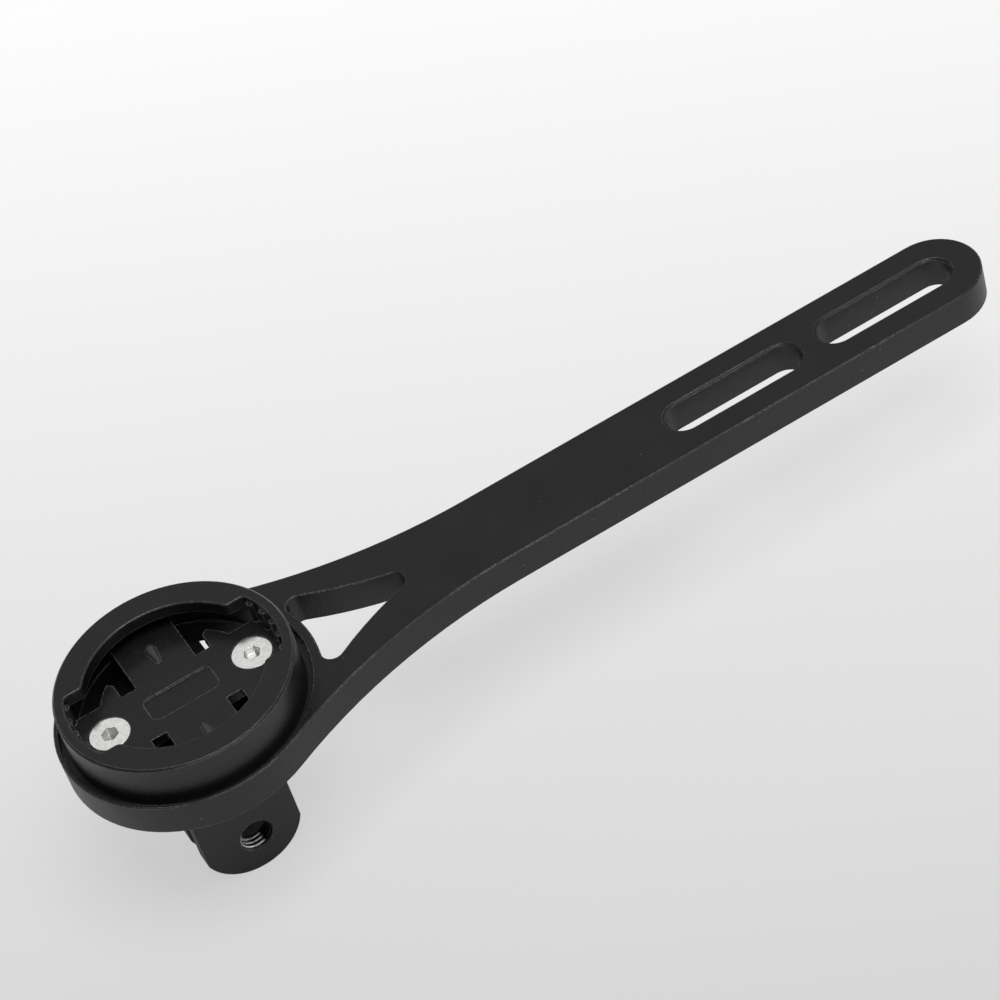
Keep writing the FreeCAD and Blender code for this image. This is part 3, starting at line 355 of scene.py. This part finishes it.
nylon = make_moulded_nylon()
dress("arm_plate", make_anodised("blasted_black_anodised_arm", "#0c0c0d", "#121213"))
dress("camera_bracket", make_anodised("blasted_black_anodised_bracket", "#0e0e0f", "#121213"))
dress("quarter_turn_insert", nylon)
dress("m3_screws", make_stainless())


# The two small pieces that follow a path: the thread's ridge and the bead at the wall's foot.

def new_shape_tree(name, sockets):
    """A Geometry Nodes tree with the given named inputs and one mesh output."""
    tree = bpy.data.node_groups.new(name, "GeometryNodeTree")
    for socket, kind in sockets.items():
        tree.interface.new_socket(socket, in_out="INPUT", socket_type=kind)
    tree.interface.new_socket("Geometry", in_out="OUTPUT", socket_type="NodeSocketGeometry")
    return tree, add_node(tree, "NodeGroupInput").outputs


def finish_shape_tree(tree, shape, finish):
    real = add_node(tree, "GeometryNodeRealizeInstances", inputs={"Geometry": shape})
    painted = add_node(tree, "GeometryNodeSetMaterial", inputs={
        "Geometry": real, "Material": finish})
    add_node(tree, "NodeGroupOutput", inputs={"Geometry": painted})
    return tree


def from_nodes(name, tree, values):
    """Runs a geometry tree with the given inputs and keeps the result as a plain mesh."""
    holder = bpy.data.objects.new(name, bpy.data.meshes.new(f"{name}_seed"))
    bpy.context.scene.collection.objects.link(holder)
    modifier = holder.modifiers.new("shape", "NODES")
    modifier.node_group = tree
    for socket in tree.interface.items_tree:
        if socket.in_out == "INPUT":
            modifier[socket.identifier] = values[socket.name]
    ready = holder.evaluated_get(bpy.context.evaluated_depsgraph_get())
    mesh = bpy.data.meshes.new_from_object(ready)
    mesh.name = name
    holder.modifiers.remove(modifier)
    holder.data = mesh
    return holder


def thread_tree():
    """Sweeps a four-sided ridge along a helix about local Z, and lays it down along Y."""
    tree, given = new_shape_tree("helical_thread", {
        "Turns": "NodeSocketFloat", "Radius": "NodeSocketFloat", "Length": "NodeSocketFloat",
        "Ridge": "NodeSocketFloat", "Start": "NodeSocketVector",
        "Finish": "NodeSocketMaterial"})
    helix = add_node(tree, "GeometryNodeCurveSpiral", inputs={
        "Resolution": THREAD_STEPS_PER_TURN, "Rotations": given["Turns"],
        "Start Radius": given["Radius"], "End Radius": given["Radius"],
        "Height": given["Length"]})
    upright = add_node(tree, "GeometryNodeSetCurveNormal", {"mode": "Z_UP"}, {"Curve": helix})
    ridge = add_node(tree, "GeometryNodeCurvePrimitiveCircle", inputs={
        "Resolution": 4, "Radius": given["Ridge"]})
    # The ridge rises and falls over about a quarter of a turn, as a cut thread runs out.
    along = add_node(tree, "GeometryNodeSplineParameter").outputs["Factor"]
    rise = add_node(tree, "ShaderNodeMapRange", inputs={
        "Value": along, "From Min": 0.0, "From Max": THREAD_RUN_OUT,
        "To Min": THREAD_RUN_OUT_HEIGHT, "To Max": 1.0})
    fall = add_node(tree, "ShaderNodeMapRange", inputs={
        "Value": along, "From Min": 1.0 - THREAD_RUN_OUT, "From Max": 1.0,
        "To Min": 1.0, "To Max": THREAD_RUN_OUT_HEIGHT})
    height = add_node(tree, "ShaderNodeMath", {"operation": "MULTIPLY"}, {0: rise, 1: fall})
    swept = add_node(tree, "GeometryNodeCurveToMesh", inputs={
        "Curve": upright, "Profile Curve": ridge, "Scale": height, "Fill Caps": True})
    laid = add_node(tree, "GeometryNodeTransform", inputs={
        "Geometry": swept, "Translation": given["Start"], "Rotation": (-90 * DEGREE, 0.0, 0.0)})
    return finish_shape_tree(tree, laid, given["Finish"])


def bead_tree():
    """Sweeps a round bead along a circle about Z."""
    tree, given = new_shape_tree("round_bead", {
        "Radius": "NodeSocketFloat", "Thickness": "NodeSocketFloat",
        "Place": "NodeSocketVector", "Finish": "NodeSocketMaterial"})
    path = add_node(tree, "GeometryNodeCurvePrimitiveCircle", inputs={
        "Resolution": BEAD_STEPS, "Radius": given["Radius"]})
    section = add_node(tree, "GeometryNodeCurvePrimitiveCircle", inputs={
        "Resolution": BEAD_SIDES, "Radius": given["Thickness"]})
    swept = add_node(tree, "GeometryNodeCurveToMesh", inputs={
        "Curve": path, "Profile Curve": section})
    set_down = add_node(tree, "GeometryNodeTransform", inputs={
        "Geometry": swept, "Translation": given["Place"]})
    return finish_shape_tree(tree, set_down, given["Finish"])


def make_camera_thread():
    length = THREAD_END_Y - THREAD_START_Y
    thread = from_nodes("camera_thread_ridge", thread_tree(), {
        "Turns": length / THREAD_PITCH,
        "Radius": THREAD_RADIUS,
        "Length": length,
        "Ridge": THREAD_DEPTH,
        "Start": (THREAD_X, THREAD_START_Y, THREAD_Z),
        "Finish": make_thread_with_painted_shade(),
    })
    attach(thread, "root")


def make_foot_bead():
    bead = from_nodes("cradle_foot_bead", bead_tree(), {
        "Radius": BEAD_RADIUS,
        "Thickness": BEAD_THICKNESS,
        "Place": (0.0, 0.0, BEAD_LEVEL),
        "Finish": nylon,
    })
    for face in bead.data.polygons:
        face.use_smooth = True
    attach(bead, "root")


make_camera_thread()
make_foot_bead()


# The stage: a pale floor whose rim runs up like a bowl, soft lamps and the camera.

FLOOR_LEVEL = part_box("camera_bracket")[0][2]
FLOOR_FLAT_RADIUS = 2.0
FLOOR_RIM_RADIUS = 2.8
FLOOR_RIM_HEIGHT = 1.2
FLOOR_SIDES = 72
FLOOR_RIM_STEPS = 8

# The paper's light at the picture's top and foot, where 1 is white, and how far its fade runs
# on below and above the picture, as shares of the picture's height.
PICTURE_TOP_LIGHT = 1.0
PICTURE_FOOT_LIGHT = 0.70
FADE_BELOW = 0.5
FADE_ABOVE = 0.1
# How much of the paper's light is its own, to the camera and in glossy reflections.
OWN_LIGHT_SEEN = 0.75
OWN_LIGHT_REFLECTED = 0.2

SKY_STRENGTH = 0.22
LAMP_AIM = Vector((0.03, 0.0, 0.0))
# Each lamp's name, place, side in metres and power in watts.
LAMPS = [
    ("top_softbox", (0.15, -0.40, 1.20), 0.8, 13.2),
    ("back_card", (0.12, 0.84, 0.85), 0.22, 0.15),
    ("far_card", (0.62, 0.80, 0.82), 0.35, 0.2),
    ("side_card", (0.9, -0.75, 0.12), 0.5, 1.6),
]


def floor_under_picture(height):
    """Where the floor lies behind the picture's middle column, from -1 at its foot to 1."""
    turn = Euler(CAMERA_TURN).to_matrix()
    ray = turn @ Vector((0.0, height * CAMERA_SENSOR_MM / 2, -CAMERA_LENS_MM))
    start = Vector(CAMERA_PLACE)
    return start + ray * ((FLOOR_LEVEL - start.z) / ray.z)


def make_stage_paint():
    """Matt photo paper, whose light falls off evenly from the picture's top to its foot.

    Part of what the camera sees is the paper's own even light; the rest is lit by the lamps, so
    that the object's shadow stays on it. Metal shows the same paper.
    """
    material, tree = new_material("matt_photo_paper")
    place = add_node(tree, "ShaderNodeTexCoord").outputs["Object"]
    foot = floor_under_picture(-1.0)
    rise = floor_under_picture(1.0) - foot
    slope = rise / rise.length_squared
    at_foot = slope.dot(foot)
    along = add_node(tree, "ShaderNodeVectorMath", {"operation": "DOT_PRODUCT"}, {
        0: place, 1: tuple(slope)}).outputs["Value"]
    fade = PICTURE_TOP_LIGHT - PICTURE_FOOT_LIGHT
    light = add_node(tree, "ShaderNodeMapRange", inputs={
        "Value": along,
        "From Min": at_foot - FADE_BELOW, "From Max": at_foot + 1.0 + FADE_ABOVE,
        "To Min": PICTURE_FOOT_LIGHT - FADE_BELOW * fade,
        "To Max": PICTURE_TOP_LIGHT + FADE_ABOVE * fade})
    path = add_node(tree, "ShaderNodeLightPath").outputs
    seen = add_node(tree, "ShaderNodeMath", {"operation": "MAXIMUM"}, {
        0: path["Is Camera Ray"], 1: path["Is Transmission Ray"]})
    reflected = add_node(tree, "ShaderNodeMath", {"operation": "MULTIPLY"}, {
        0: path["Is Glossy Ray"], 1: OWN_LIGHT_REFLECTED})
    own_share = add_node(tree, "ShaderNodeMath", {"operation": "MULTIPLY_ADD"}, {
        0: seen, 1: OWN_LIGHT_SEEN, 2: reflected})
    paper = add_node(tree, "ShaderNodeBsdfDiffuse", inputs={"Color": light})
    glow = add_node(tree, "ShaderNodeEmission", inputs={"Strength": light})
    both = add_node(tree, "ShaderNodeMixShader", inputs={0: own_share, 1: paper, 2: glow})
    add_node(tree, "ShaderNodeOutputMaterial", inputs={"Surface": both})
    return material


def make_floor():
    """A flat disc whose rim curves up, so that every low view ends on paper."""
    rings = [(FLOOR_FLAT_RADIUS, 0.0)]
    for step in range(1, FLOOR_RIM_STEPS + 1):
        turn = step / FLOOR_RIM_STEPS * 90 * DEGREE
        reach = FLOOR_FLAT_RADIUS + (FLOOR_RIM_RADIUS - FLOOR_FLAT_RADIUS) * math.sin(turn)
        rings.append((reach, FLOOR_RIM_HEIGHT * (1 - math.cos(turn))))
    corners = []
    for reach, height in rings:
        for side in range(FLOOR_SIDES):
            turn = side / FLOOR_SIDES * 360 * DEGREE
            corners.append((reach * math.cos(turn), reach * math.sin(turn), FLOOR_LEVEL + height))
    faces = [tuple(range(FLOOR_SIDES))]
    for ring in range(len(rings) - 1):
        first = ring * FLOOR_SIDES
        for side in range(FLOOR_SIDES):
            after = (side + 1) % FLOOR_SIDES
            faces.append((
                first + side, first + FLOOR_SIDES + side,
                first + FLOOR_SIDES + after, first + after))
    mesh = bpy.data.meshes.new("floor")
    mesh.from_pydata(corners, [], faces)
    mesh.materials.append(make_stage_paint())
    floor = bpy.data.objects.new("floor", mesh)
    bpy.context.scene.collection.objects.link(floor)


def add_lamp(name, place, side, power):
    """A square soft lamp that faces the object."""
    lamp = bpy.data.lights.new(name, "AREA")
    lamp.shape = "SQUARE"
    lamp.size = side
    lamp.energy = power
    holder = bpy.data.objects.new(name, lamp)
    holder.location = place
    holder.rotation_euler = (LAMP_AIM - Vector(place)).to_track_quat("-Z", "Y").to_euler()
    bpy.context.scene.collection.objects.link(holder)


def make_camera():
    camera = bpy.data.cameras.new("photo_camera")
    camera.sensor_width = CAMERA_SENSOR_MM
    camera.lens = CAMERA_LENS_MM
    camera.clip_start = NEAREST_SEEN
    camera.clip_end = FURTHEST_SEEN
    holder = bpy.data.objects.new("photo_camera", camera)
    holder.location = CAMERA_PLACE
    holder.rotation_euler = Euler(CAMERA_TURN)
    bpy.context.scene.collection.objects.link(holder)
    bpy.context.scene.camera = holder


def make_sky():
    world = bpy.data.worlds.new("studio")
    world.use_nodes = True
    background = world.node_tree.nodes["Background"]
    background.inputs["Color"].default_value = linear("#ffffff")
    background.inputs["Strength"].default_value = SKY_STRENGTH
    bpy.context.scene.world = world


make_floor()
for lamp in LAMPS:
    add_lamp(*lamp)
make_sky()
make_camera()
bpy.context.scene.view_settings.view_transform = "Standard"
